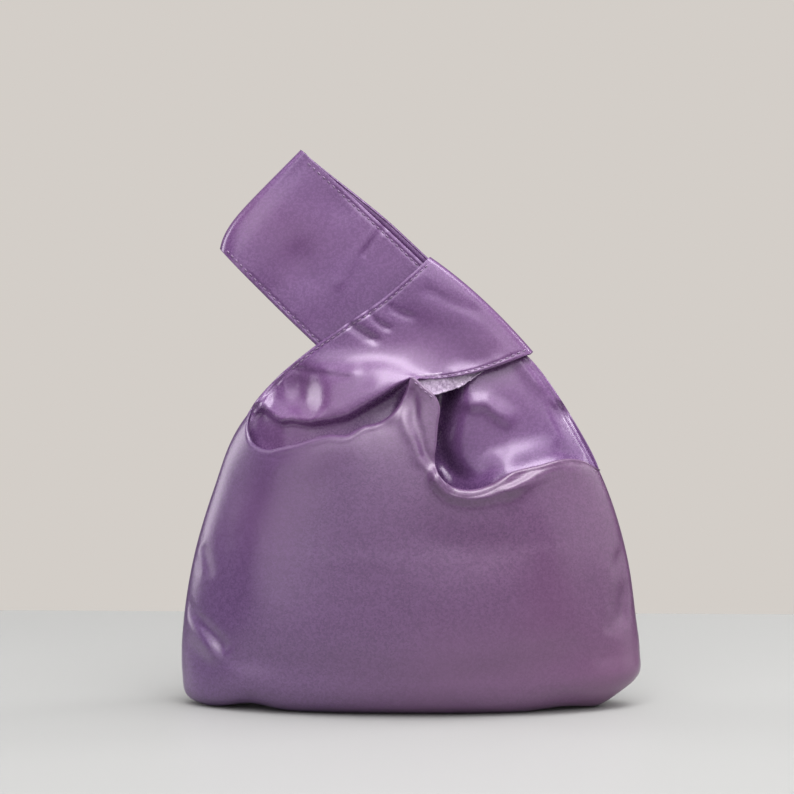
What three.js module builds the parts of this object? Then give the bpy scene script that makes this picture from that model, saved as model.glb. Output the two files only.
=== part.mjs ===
// Satin knot bag, in millimetres, +Z up, the front facing -Y.
// A soft pouch is sewn from a front and a back panel. At its left shoulder the cloth runs on into a
// short loop, and at its right shoulder into a long wrist loop. The long loop is threaded through the
// short one, which wraps it and closes the mouth. The pouch stands on its flattened bottom, and the
// origin is the middle of that bottom.
import * as THREE from "three";

// Cloth and sewing
const CLOTH = 1.6; // satin, interlining and lining, sewn as one wall
const SEAM_GAP = 0.3; // between the two panels, and between the two halves of a loop, at a seam
const SEAM = SEAM_GAP / 2; // from the seam plane to each wall
const SHORT_TUCK = 0.9; // between the short loop's base and the panel it is tucked behind
const LONG_TUCK = 0.8; // the same for the long loop

// Grid steps of each wall
const PANEL_ACROSS = 24;
const PANEL_UP = 20;
const LEVEL_UP = 14; // steps of a panel below the level where its columns begin to differ in height
const LEVEL_Z = 98;
const LOOP_ACROSS = 6;
const SHORT_STEPS = 13; // from the fold to the shoulder, on each half
const LONG_STEPS = 15;
const FACING_ACROSS = 4;
const FACING_STEPS = 7;
const NUDGE = { share: 0.004, run: 0.004 }; // steps over which a surface's slope is taken

// The pouch: a row for each section, from the bottom seam up. left and right are the side seams, and
// depth is how far the panel stands out from the seam plane in the middle. puff is the power of its
// swell from seam to seam: 0.5 is an ellipse, 1 a parabola.
const POUCH_SECTIONS = [
  { name: "bottom seam", z: 0, left: -84, right: 82, depth: 0, puff: 0.5 },
  { name: "edge of the flat", z: 0, left: -98, right: 92, depth: 25, puff: 0.5 },
  { name: "corner", z: 4, left: -105.5, right: 100, depth: 34, puff: 0.52 },
  { name: "low side", z: 16, left: -110.8, right: 109.8, depth: 41, puff: 0.56 },
  { name: "belly", z: 40, left: -110.8, right: 108, depth: 44, puff: 0.6 },
  { name: "waist", z: 72, left: -106.5, right: 104, depth: 43, puff: 0.62 },
  { name: "chest", z: 104, left: -97, right: 94.5, depth: 39, puff: 0.62 },
  { name: "shoulder", z: 134, left: -83.5, right: 77.5, depth: 32, puff: 0.62 },
  { name: "neck", z: 162, left: -60, right: 63, depth: 25, puff: 0.62 },
];

// The panels' upper edge: share is the way from the left seam to the right one.
const FLAP_SHARE = 0.595; // the flap's upright edge, where the upper edge drops into the hollow
const FLAP_STEP = 0.02;
const UPPER_EDGE = [
  { name: "left seam", share: 0, z: 131 },
  { name: "end of the valley", share: 0.12, z: 126.5 },
  { name: "valley", share: 0.3, z: 131.5 },
  { name: "rise to the notch", share: 0.44, z: 142 },
  { name: "notch", share: 0.51, z: 154 },
  { name: "flap tip", share: FLAP_SHARE, z: 147 },
];
const LOWER_LIP = [
  { name: "foot of the flap", share: FLAP_SHARE + FLAP_STEP, z: 115 },
  { name: "bottom of the lip", share: 0.67, z: 107.5 },
  { name: "rise of the lip", share: 0.8, z: 115.5 },
  { name: "end of the lip", share: 0.92, z: 120 },
  { name: "right seam", share: 1, z: 123.5 },
];

// Folds in the panels: each runs straight from one point to the other, reach is half its width, and
// push is how far it stands out, or in where it is negative.
const FOLDS_FROM_Z = 2; // folds fade out towards the flat that the bag stands on
const FOLDS_FULL_Z = 20;
const FRONT_FOLDS = [
  { name: "ridge under the valley", x: -72, z: 126, toX: -4, toZ: 146, reach: 7, push: 3 },
  { name: "crown of the flap", x: 8, z: 150, toX: 6, toZ: 122, reach: 9, push: 5 },
  { name: "lip, left run", x: 12, z: 116, toX: 28, toZ: 106, reach: 6, push: 3 },
  { name: "lip, right run", x: 28, z: 106, toX: 66, toZ: 116, reach: 7, push: 3 },
  { name: "dent under the lip", x: 14, z: 92, toX: 24, toZ: 84, reach: 15, push: -3 },
  { name: "dent by the left seam", x: -96, z: 88, toX: -92, toZ: 62, reach: 8, push: -2.5 },
  { name: "corner crease", x: -101, z: 47, toX: -88, toZ: 31, reach: 4, push: -2 },
  { name: "pucker at the right seam", x: 100, z: 62, toX: 102, toZ: 46, reach: 5, push: -2 },
];
const BACK_FOLDS = [
  { name: "ridge under the valley", x: -72, z: 126, toX: -4, toZ: 146, reach: 8, push: 2 },
  { name: "crown of the flap", x: 8, z: 150, toX: 6, toZ: 122, reach: 10, push: 3 },
  { name: "lip", x: 14, z: 114, toX: 62, toZ: 114, reach: 8, push: 2 },
  { name: "slack across the back", x: -50, z: 84, toX: 40, toZ: 62, reach: 14, push: -2.5 },
];

// The short loop, half of it: a row for each section, from the fold at its far end to the shoulder.
// top is its outer hem and low its mouth hem. sag lowers the middle of a section, and the depths are
// the half's distances from the seam plane at the top, in the middle and at the low hem.
const SHORT_SECTIONS = [
  { name: "fold", topX: 9.3, topZ: 216, lowX: 58.6, lowZ: 170.6, sag: -3, top: 0, mid: 0, low: 0 },
  { name: "turn", topX: 8.2, topZ: 215, lowX: 57.4, lowZ: 170.1, sag: -3, top: 7, mid: 7, low: 7 },
  { name: "grip", topX: 3.2, topZ: 210.4, lowX: 52.6, lowZ: 168.2, sag: -2.5, top: 10, mid: 10.2, low: 10.4 },
  { name: "knot", topX: -14, topZ: 195.5, lowX: 33, lowZ: 161.5, sag: 0, top: 9.6, mid: 12, low: 14 },
  { name: "wrap", topX: -33, topZ: 182, lowX: 15, lowZ: 158.3, sag: 0, top: 9.4, mid: 15, low: 18 },
  { name: "shoulder", topX: -54, topZ: 167, lowX: 4, lowZ: 158, sag: 2, top: 8, mid: 18, low: 20.5 },
  { name: "left", topX: -71, topZ: 150.5, lowX: 1.5, lowZ: 154, sag: 7, top: 4, mid: 20, low: 20.5 },
  { name: "valley", topX: -81, topZ: 130, lowX: 1, lowZ: 147, sag: 11, top: 1.5, mid: 20, low: 20.5 },
];

// The long loop, half of it: from the fold at its free end, down through the short loop, to its base
// in the hollow behind the lip. top is its outer hem, which runs into the right side seam.
const LONG_SECTIONS = [
  { name: "fold", topX: -53.7, topZ: 267.3, lowX: -90.7, lowZ: 220.7, sag: 0, top: 0, mid: 0, low: 0 },
  { name: "turn", topX: -52.4, topZ: 266.1, lowX: -89.4, lowZ: 219.5, sag: 0, top: 4.4, mid: 4.4, low: 4.4 },
  { name: "bend", topX: -48.5, topZ: 262.6, lowX: -85.6, lowZ: 216, sag: 0, top: 6.6, mid: 6.9, low: 6.6 },
  { name: "loop", topX: -22, topZ: 239, lowX: -66, lowZ: 196.3, sag: 0, top: 7, mid: 7.8, low: 7 },
  { name: "knot", topX: 5.8, topZ: 213, lowX: -44.3, lowZ: 174.8, sag: 0, top: 6.5, mid: 6.9, low: 6.9 },
  { name: "wrapped", topX: 34.6, topZ: 185, lowX: -16, lowZ: 147, sag: 0, top: 6.5, mid: 6.9, low: 7.4 },
  { name: "right side", topX: 60, topZ: 161.5, lowX: 3, lowZ: 128, sag: 0, top: 5.2, mid: 9.4, low: 11.4 },
  { name: "slope", topX: 77, topZ: 135, lowX: 9, lowZ: 117, sag: 2, top: 3, mid: 19, low: 17 },
  { name: "base", topX: 81, topZ: 114, lowX: 12, lowZ: 103, sag: 5, top: 3, mid: 24, low: 20 },
];

// The facing that shows under the mouth hem by the notch: reach is the place along the short loop,
// from 0 at its fold to 1 at its valley, and drop how far the facing hangs below the hem there.
const FACING_GAP = 1; // between the facing and the inner face of the loop
const FACING_LAP = 0.06; // share of the loop's width that the facing runs up behind it
const FACING_ROWS = [
  { name: "at the notch", reach: 0.74, drop: 3 },
  { name: "deepest", reach: 0.57, drop: 7 },
  { name: "last seen", reach: 0.4, drop: 2 },
];

const TUCK_FROM = 0.8; // the place along a loop from which it draws in behind its panel

// Satin in three shades: the puffed panels, the loops, and the paler wrong side
const PANEL_SATIN = 0x76567f;
const LOOP_SATIN = 0x84618f;
const FACING_SATIN = 0x8f7598;
const SATIN_ROUGHNESS = 0.38;

// Gives each named column of a table at any place along it, on a smooth curve through the rows.
function alongTable(rows, places, columns) {
  const values = Float64Array.from(rows.flatMap((row) => columns.map((column) => row[column])));
  const curve = new THREE.CubicInterpolant(places, values, columns.length);
  return (place) => {
    const found = curve.evaluate(place);
    return Object.fromEntries(columns.map((column, i) => [column, found[i]]));
  };
}

const evenPlaces = (rows) => rows.map((_, i) => i / (rows.length - 1));
const sharesOf = (rows) => rows.map((row) => row.share);

// A closed cloth wall on a grid of across by along steps. spot(i, j) is the place of a grid point on
// the surface, surface(place) its point in space, and the inside lies one cloth thickness in, on the
// other side from outwards. keep(point, i, j) may hold an inner point to its own side of a seam.
function clothWall(across, along, spot, surface, outwards, keep = () => {}) {
  const slope = (place, key) => {
    const low = { ...place, [key]: Math.max(place[key] - NUDGE[key], place.least[key]) };
    const high = { ...place, [key]: Math.min(place[key] + NUDGE[key], place.most[key]) };
    return surface(high).sub(surface(low));
  };
  const outside = [];
  const inside = [];
  for (let j = 0; j <= along; j++)
    for (let i = 0; i <= across; i++) {
      const place = spot(i, j);
      const point = surface(place);
      const normal = slope(place, "share").cross(slope(place, "run")).normalize();
      outside.push(point);
      inside.push(point.clone().addScaledVector(normal, -outwards * CLOTH));
      keep(inside.at(-1), i, j);
    }

  const layer = outside.length;
  const index = [];
  const triangle = (a, b, c) => (outwards > 0 ? index.push(a, b, c) : index.push(a, c, b));
  const at = (i, j) => j * (across + 1) + i;
  for (let j = 0; j < along; j++)
    for (let i = 0; i < across; i++) {
      let [a, b, c, d] = [at(i, j), at(i + 1, j), at(i + 1, j + 1), at(i, j + 1)];
      const shorter = outside[b].distanceTo(outside[d]) < outside[a].distanceTo(outside[c]);
      if (shorter) [a, b, c, d] = [b, c, d, a];
      triangle(a, b, c);
      triangle(a, c, d);
      triangle(layer + a, layer + c, layer + b);
      triangle(layer + a, layer + d, layer + c);
    }
  const rim = (from, to) => {
    triangle(to, from, layer + from);
    triangle(to, layer + from, layer + to);
  };
  for (let i = 0; i < across; i++) {
    rim(at(i, 0), at(i + 1, 0));
    rim(at(i + 1, along), at(i, along));
  }
  for (let j = 0; j < along; j++) {
    rim(at(0, j + 1), at(0, j));
    rim(at(across, j), at(across, j + 1));
  }
  return new THREE.BufferGeometry().setFromPoints([...outside, ...inside]).setIndex(index);
}

function satinPiece(name, geometry, color) {
  const satin = new THREE.MeshStandardMaterial({ color, roughness: SATIN_ROUGHNESS, metalness: 0 });
  const mesh = new THREE.Mesh(geometry, satin);
  mesh.name = name;
  return mesh;
}

// How far a point lies from the straight run of a fold.
function offFold(x, z, fold) {
  const run = new THREE.Vector2(fold.toX - fold.x, fold.toZ - fold.z);
  const to = new THREE.Vector2(x - fold.x, z - fold.z);
  const share = THREE.MathUtils.clamp(to.dot(run) / run.lengthSq(), 0, 1);
  return to.addScaledVector(run, -share).length();
}

const foldPush = (x, z, folds) =>
  folds.reduce((sum, fold) => sum + fold.push * Math.exp(-((offFold(x, z, fold) / fold.reach) ** 2)), 0);

// The pouch's sections by how far the cloth has climbed from the bottom seam.
const CLIMBS = [0];
POUCH_SECTIONS.slice(1).forEach((row, i) => {
  const below = POUCH_SECTIONS[i];
  CLIMBS.push(CLIMBS[i] + Math.hypot(row.z - below.z, row.depth - below.depth));
});
const pouchSection = alongTable(POUCH_SECTIONS, CLIMBS, ["z", "left", "right", "depth", "puff"]);

// The climb at which the cloth, past the flat, reaches a height.
function climbAt(z) {
  const near = 0.01;
  let [low, high] = [CLIMBS[1], CLIMBS.at(-1)];
  while (high - low > near) {
    const middle = (low + high) / 2;
    if (pouchSection(middle).z < z) low = middle;
    else high = middle;
  }
  return low;
}

// How far a panel stands out from the seam plane, at a share of the way across a section.
function panelDepth(section, share, x, z, folds) {
  const across = 2 * share - 1;
  const swell = Math.pow(Math.max(1 - across * across, 0), section.puff);
  const onWall = THREE.MathUtils.smoothstep(z, FOLDS_FROM_Z, FOLDS_FULL_Z);
  return SEAM + Math.max((section.depth + foldPush(x, z, folds) * onWall) * swell, 0);
}

// A panel of the pouch. side is -1 for the front and 1 for the back. Its columns run up from the
// bottom seam, over the flat that it stands on, to the upper edge or the lip.
function pouchPanel(name, side, folds) {
  // Two columns stand close together at the flap, so that its edge is upright.
  const flapColumn = Math.round(PANEL_ACROSS * FLAP_SHARE);
  const shareOf = (i) =>
    i <= flapColumn
      ? (FLAP_SHARE * i) / flapColumn
      : THREE.MathUtils.mapLinear(i, flapColumn + 1, PANEL_ACROSS, FLAP_SHARE + FLAP_STEP, 1);
  const upperEdge = alongTable(UPPER_EDGE, sharesOf(UPPER_EDGE), ["z"]);
  const lowerLip = alongTable(LOWER_LIP, sharesOf(LOWER_LIP), ["z"]);
  const columns = [];
  for (let i = 0; i <= PANEL_ACROSS; i++) {
    const share = shareOf(i);
    const edge = i <= flapColumn ? upperEdge(share) : lowerLip(share);
    columns.push({ share, climb: climbAt(edge.z) });
  }
  const level = climbAt(LEVEL_Z);
  const climbOf = (column, j) =>
    j <= LEVEL_UP
      ? (level * j) / LEVEL_UP
      : THREE.MathUtils.mapLinear(j, LEVEL_UP, PANEL_UP, level, column.climb);
  const spot = (i, j) => ({
    share: columns[i].share,
    run: climbOf(columns[i], j) / CLIMBS.at(-1),
    least: { share: 0, run: 0 },
    most: { share: 1, run: 1 },
  });
  const surface = ({ share, run }) => {
    const here = pouchSection(run * CLIMBS.at(-1));
    const z = Math.max(here.z, 0);
    const x = THREE.MathUtils.lerp(here.left, here.right, share);
    return new THREE.Vector3(x, side * panelDepth(here, share, x, z, folds), z);
  };
  const keep = (point, i, j) => {
    if (j === 0 || point.y * side < SEAM) point.y = side * SEAM;
  };
  return satinPiece(name, clothWall(PANEL_ACROSS, PANEL_UP, spot, surface, -side, keep), PANEL_SATIN);
}

// How far out a loop may stand where it is tucked in behind a panel: clear of the panel both straight
// in from it and sideways in from its seam.
function behindPanel(x, z, gap, folds) {
  const clear = CLOTH + gap;
  const section = pouchSection(climbAt(z));
  const half = (section.right - section.left) / 2;
  const off = x - (section.left + half);
  const share = Math.min(0.5 + (0.5 * (Math.abs(off) + clear)) / half, 1);
  const depth = panelDepth(section, off < 0 ? 1 - share : share, x, z, folds);
  return Math.max(depth - clear, SEAM);
}

// The outside of a loop. run is the place along it, from -1 at the front base over 0 at its fold to 1
// at the back base, and share the place across it, from 0 at the outer hem to 1 at the mouth hem.
function loopSurface(sections, tuckGap) {
  const columns = ["topX", "topZ", "lowX", "lowZ", "sag", "top", "mid", "low"];
  const section = alongTable(sections, evenPlaces(sections), columns);
  return ({ share, run }) => {
    const here = section(Math.abs(run));
    const bow = 4 * share * (1 - share);
    const depth =
      here.top * (1 - share) * (1 - 2 * share) + here.mid * bow + here.low * share * (2 * share - 1);
    const x = THREE.MathUtils.lerp(here.topX, here.lowX, share);
    const z = THREE.MathUtils.lerp(here.topZ, here.lowZ, share) - here.sag * bow;
    const tucked = THREE.MathUtils.smoothstep(Math.abs(run), TUCK_FROM, 1);
    const behind = tucked ? behindPanel(x, z, tuckGap, run < 0 ? FRONT_FOLDS : BACK_FOLDS) : 0;
    return new THREE.Vector3(x, Math.sign(run) * THREE.MathUtils.lerp(depth, behind, tucked), z);
  };
}

// A loop is one band: its front half, the fold at its end and its back half. outwards is 1 where its
// outer hem is to the left of the way from base to fold, seen from outside, and -1 to the right.
function loopBand(name, sections, tuckGap, steps, outwards) {
  const foldRows = 2; // the turn and the row after it, where the band crosses the seam plane
  const foldRun = foldRows / (sections.length - 1);
  const spot = (i, j) => ({
    share: i / LOOP_ACROSS,
    run: j / steps - 1,
    least: { share: 0, run: -1 },
    most: { share: 1, run: 1 },
  });
  const keep = (point, i, j) => {
    const { run } = spot(i, j);
    const half = Math.sign(run);
    if (Math.abs(run) > foldRun && point.y * half < SEAM) point.y = half * SEAM;
  };
  const surface = loopSurface(sections, tuckGap);
  return satinPiece(name, clothWall(LOOP_ACROSS, 2 * steps, spot, surface, outwards, keep), LOOP_SATIN);
}

// The strip of facing behind the mouth hem of the short loop's front half. Its own share runs from
// the lap behind the hem, at 0, over the hem, at a half, to its lower edge, at 1.
function mouthFacing(name) {
  const loop = loopSurface(SHORT_SECTIONS, SHORT_TUCK);
  const row = alongTable(FACING_ROWS, evenPlaces(FACING_ROWS), ["reach", "drop"]);
  const spot = (i, j) => ({
    share: i / FACING_ACROSS,
    run: j / FACING_STEPS,
    least: { share: 0, run: 0 },
    most: { share: 1, run: 1 },
  });
  const surface = ({ share, run }) => {
    const here = row(run);
    const lap = FACING_LAP * Math.max(1 - 2 * share, 0);
    const point = loop({ share: 1 - lap, run: -here.reach });
    point.z -= here.drop * Math.max(2 * share - 1, 0);
    point.y += CLOTH + FACING_GAP;
    return point;
  };
  return satinPiece(name, clothWall(FACING_ACROSS, FACING_STEPS, spot, surface, 1), FACING_SATIN);
}

const knotBag = new THREE.Group();
knotBag.add(
  pouchPanel("front_panel", -1, FRONT_FOLDS),
  pouchPanel("back_panel", 1, BACK_FOLDS),
  loopBand("short_loop", SHORT_SECTIONS, SHORT_TUCK, SHORT_STEPS, 1),
  loopBand("long_loop", LONG_SECTIONS, LONG_TUCK, LONG_STEPS, -1),
  mouthFacing("mouth_facing"),
);

export default knotBag;
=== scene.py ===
# %% [markdown]
# # A satin knot bag
#
# The bag is a pouch of two puffed panels. At the left shoulder the cloth runs on into a short loop, at
# the right shoulder into a long wrist loop, and the long loop is threaded through the short one. This
# lesson rebuilds each piece as a fine sheet of cloth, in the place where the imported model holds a
# plain wall for it, and then gives it a satin finish.

import bmesh
import bpy
import numpy as np
from mathutils import Matrix, Vector, noise


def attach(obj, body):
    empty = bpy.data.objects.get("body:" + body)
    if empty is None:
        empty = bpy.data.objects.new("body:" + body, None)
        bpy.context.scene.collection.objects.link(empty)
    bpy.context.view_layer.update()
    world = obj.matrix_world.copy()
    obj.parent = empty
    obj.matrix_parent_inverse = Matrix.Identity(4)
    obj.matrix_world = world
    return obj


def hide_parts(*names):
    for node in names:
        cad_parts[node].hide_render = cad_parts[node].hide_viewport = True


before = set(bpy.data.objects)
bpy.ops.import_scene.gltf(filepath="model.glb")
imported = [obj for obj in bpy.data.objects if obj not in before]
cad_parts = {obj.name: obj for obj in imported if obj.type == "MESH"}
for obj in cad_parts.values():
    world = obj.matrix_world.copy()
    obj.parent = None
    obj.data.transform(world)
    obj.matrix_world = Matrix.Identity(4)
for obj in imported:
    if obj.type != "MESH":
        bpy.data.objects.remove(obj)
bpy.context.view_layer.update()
MM = 0.001  # tables below are in millimetres, and Blender works in metres

# %% [markdown]
# ## Camera
#
# The photo looks at the bag from a little above its middle and a little to its right, with a long
# lens. A long lens far away keeps the outline close to a plain front view, so the sizes in the tables
# below can be read almost straight off the picture.

# %% Place the camera
CAMERA_AT = (35, -1150, 205)
CAMERA_AIM = (-6.74, 0, 148.74)
LENS = 108.63
SENSOR = 36
NEAREST = 0.01  # metres from the lens, before which nothing is drawn

camera_data = bpy.data.cameras.new("camera")
camera_data.lens = LENS
camera_data.sensor_width = SENSOR
camera_data.clip_start = NEAREST
camera = bpy.data.objects.new("camera", camera_data)
bpy.context.collection.objects.link(camera)
camera.location = Vector(CAMERA_AT) * MM
gaze = Vector(CAMERA_AIM) - Vector(CAMERA_AT)
camera.rotation_euler = gaze.to_track_quat("-Z", "Y").to_euler()
bpy.context.scene.camera = camera
print("camera", [round(v, 3) for v in camera.location])

# %% [markdown]
# ## Tables and curves
#
# A soft form is easiest to steer by its sections: a short table with a row for each one, and a smooth
# curve through the rows. Folds are rows too: a run of points, how far the fold reaches to each side
# and how far it pushes the cloth out or in.

# %% Helpers for tables, curves and folds
def table(columns, *rows):
    """The named columns of a short table. The first word of each row only says what the row is."""
    names = columns.split()
    return {name: np.array([row[i + 1] for row in rows], float) for i, name in enumerate(names)}


def curve_through(places, values):
    """A smooth curve through values at places."""
    x, y = np.asarray(places, float), np.asarray(values, float)
    slope = np.gradient(y, x)

    def at(place):
        place = np.clip(place, x[0], x[-1])
        i = np.clip(np.searchsorted(x, place, side="right") - 1, 0, len(x) - 2)
        step = x[i + 1] - x[i]
        s = (place - x[i]) / step
        rise = s * s * (3 - 2 * s)
        bend = step * (s * (1 - s) ** 2 * slope[i] + s * s * (s - 1) * slope[i + 1])
        return y[i] * (1 - rise) + y[i + 1] * rise + bend

    return at


def smooth_step(value, low, high):
    """A soft rise from 0 at low to 1 at high."""
    t = np.clip((value - low) / (high - low), 0, 1)
    return t * t * (3 - 2 * t)


def bell(distance, reach):
    """A soft bump: 1 at no distance, and almost nothing past twice the reach."""
    return np.exp(-((distance / reach) ** 2))


def off_run(x, z, points):
    """How far each (x, z) is from a run of points, how far along the run, and the run's length."""
    nearest = np.full(np.shape(x), 1e9)
    place = np.zeros(np.shape(x))
    start = 0
    for (x0, z0), (x1, z1) in zip(points, points[1:]):
        dx, dz = x1 - x0, z1 - z0
        share = np.clip(((x - x0) * dx + (z - z0) * dz) / (dx * dx + dz * dz), 0, 1)
        away = np.hypot(x - x0 - share * dx, z - z0 - share * dz)
        place = np.where(away < nearest, start + share * np.hypot(dx, dz), place)
        nearest = np.minimum(nearest, away)
        start += np.hypot(dx, dz)
    return nearest, place, start


def ripple(x, z, size, seed):
    """Smooth, even unevenness between about -1 and 1, with bumps of that size."""
    spots = zip(np.ravel(x) / size, np.ravel(z) / size)
    values = [noise.noise(Vector((a, seed, b))) for a, b in spots]
    return np.reshape(values, np.shape(x))


WANDER = 1.4  # mm that a fold strays from its run
WANDER_SIZE = 12  # mm from one stray to the next, about
FADE_REACH = 2.5  # a fold's ends fade over this many times its reach,
FADE_SHARE = 0.45  # but over no more than this share of its length


def fold_push(x, z, folds):
    """How far the folds push the cloth out at each (x, z). They wander a little and fade at their ends."""
    stray_x, stray_z = ripple(x, z, WANDER_SIZE, 21.0), ripple(x, z, WANDER_SIZE, 33.0)
    x, z = x + WANDER * stray_x, z + WANDER * stray_z
    push_out = np.zeros(np.shape(x))
    for _, reach, push, *points in folds:
        away, place, length = off_run(x, z, points)
        fade_over = min(FADE_REACH * reach, FADE_SHARE * length)
        fade = smooth_step(np.minimum(place, length - place), 0, fade_over)
        push_out += push * fade * bell(away, reach)
    return push_out


print("helpers ready")

# %% [markdown]
# ## The pouch's form
#
# The pouch stands on a flat that its own filling presses out, swells to a belly and narrows to the
# neck. Two flat panels could be blown up by a simulation, but then nobody chooses where the folds lie.
# So the form is built up from sections, each a lens between the two side seams. The power of the lens
# changes with height: near the base it is fuller, almost an ellipse.

# %% Sections of the pouch
POUCH = table(
    "z left right depth puff",
    ("bottom seam", 0, -90, 85, 0, 0.5),
    ("edge of the flat", 0, -101.5, 91, 25, 0.5),
    ("corner", 4, -108.8, 97.2, 34, 0.54),
    ("low side", 15, -111, 109.6, 41, 0.62),
    ("side", 27, -111.2, 110.2, 43, 0.7),
    ("belly", 42, -110, 108.4, 44, 0.72),
    ("waist", 72, -104.9, 104, 43, 0.73),
    ("chest", 104, -95.3, 94.5, 39, 0.74),
    ("shoulder", 134, -83.2, 80, 32, 0.74),
    ("neck", 162, -60, 63, 25, 0.74),
)
SEAM = 0.15  # from the seam plane to each panel
FOLDS_FROM = (2, 20)  # heights over which folds fade in above the base
WALL_SAMPLES = 2000

climbs = np.concatenate([[0], np.cumsum(np.hypot(np.diff(POUCH["z"]), np.diff(POUCH["depth"])))])
pouch = {name: curve_through(climbs, POUCH[name]) for name in POUCH}
wall_climbs = np.linspace(climbs[1], climbs[-1], WALL_SAMPLES)
wall_heights = pouch["z"](wall_climbs)


def climb_at(z):
    """How far the cloth has climbed from the bottom seam at a height on the wall."""
    return np.interp(z, wall_heights, wall_climbs)


def across_pouch(x, z):
    """The share of the way from the left seam to the right one, at a height on the wall."""
    climb = climb_at(z)
    left, right = pouch["left"](climb), pouch["right"](climb)
    return np.clip((x - left) / (right - left), 0, 1)


def panel_depth(climb, share, x, z, folds):
    """How far a panel stands out from the seam plane, at a share of the way across a section."""
    swell = np.clip(1 - (2 * share - 1) ** 2, 0, 1) ** pouch["puff"](climb)
    on_wall = smooth_step(z, *FOLDS_FROM)
    return SEAM + np.maximum(pouch["depth"](climb) + fold_push(x, z, folds) * on_wall, 0) * swell


def depth_at(x, z, folds):
    """The same, for a point given by where it is."""
    return panel_depth(climb_at(z), across_pouch(x, z), x, z, folds)


print("pouch climbs", round(climbs[-1]), "mm from its bottom seam to its neck")

# %% [markdown]
# ## The front panel
#
# The front panel's upper edge is the bag's most telling line. From a sliver along the left seam it
# rolls over into the valley under the short loop, rises to a peak at the notch, runs down the stitched
# mouth hem to the flap's tip, drops along the flap's fold, rolls over again in the lip of the hollow
# and runs on as a soft ridge to the right seam. The grid's columns end along that line, and the last
# rows curl in behind it, so that every edge is a soft roll.

# %% The front panel's upper edge and folds
LEVEL = 96  # height from which the columns lean towards the upper edge
UPPER_EDGE = table(
    "x z foot roll",
    ("end of the left sliver", -75.4, 144.6, -99.4, 0.4),
    ("inside of the sliver", -76.6, 141.8, -97.6, 0.6),
    ("top of the pocket", -77.6, 138, -95, 1),
    ("side of the pocket", -77.6, 132.5, -92, 1.5),
    ("corner of the pocket", -75, 127.2, -87, 2.2),
    ("bottom of the pocket", -68, 124.4, -78, 3),
    ("valley", -62, 125.6, -70, 3.2),
    ("valley, left run", -52, 128.2, -58, 3.4),
    ("valley, middle", -37.4, 132.3, -42, 3.4),
    ("valley, slack", -29.4, 132.4, -34, 3.4),
    ("valley, rise", -22.5, 136.2, -27.5, 3.2),
    ("side of the flap", -14, 138.4, -20, 3),
    ("foot of the peak", -7, 143.6, -14, 2.6),
    ("peak, left", -2.4, 151.5, -9.6, 1.6),
    ("notch", 1.4, 159.4, -6.6, 1.1),
    ("mouth hem", 7, 154.9, -4.6, 1),
    ("flap tip", 12.2, 150.6, -2.8, 1),
    ("tip corner", 14.4, 146, -1.4, 1.1),
    ("flap fold", 13.6, 136.5, 0.2, 1.4),
    ("low flap fold", 12.9, 127.5, 2.8, 1.3),
    ("foot of the flap", 12.1, 121, 7.2, 1),
    ("turn of the lip", 13.8, 115.4, 11.4, 1.4),
    ("lip, left", 19.2, 109.6, 18, 2.6),
    ("bottom of the lip", 26, 107.4, 25.5, 3),
    ("lip, middle", 33.7, 108.1, 34, 3),
    ("lip, right", 42.2, 111.8, 43.5, 2.6),
    ("end of the lip", 47.8, 114.9, 50, 2),
    ("fading lip", 54, 116.4, 57, 2),
    ("soft ridge", 62, 118, 66, 2),
    ("ridge", 68.5, 119.6, 73.5, 2),
    ("fading ridge", 75, 120.2, 81, 1.6),
    ("run to the right seam", 82, 119, 89.4, 1),
    ("end at the right seam", 90, 114.4, 97.4, 0.3),
)
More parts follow.
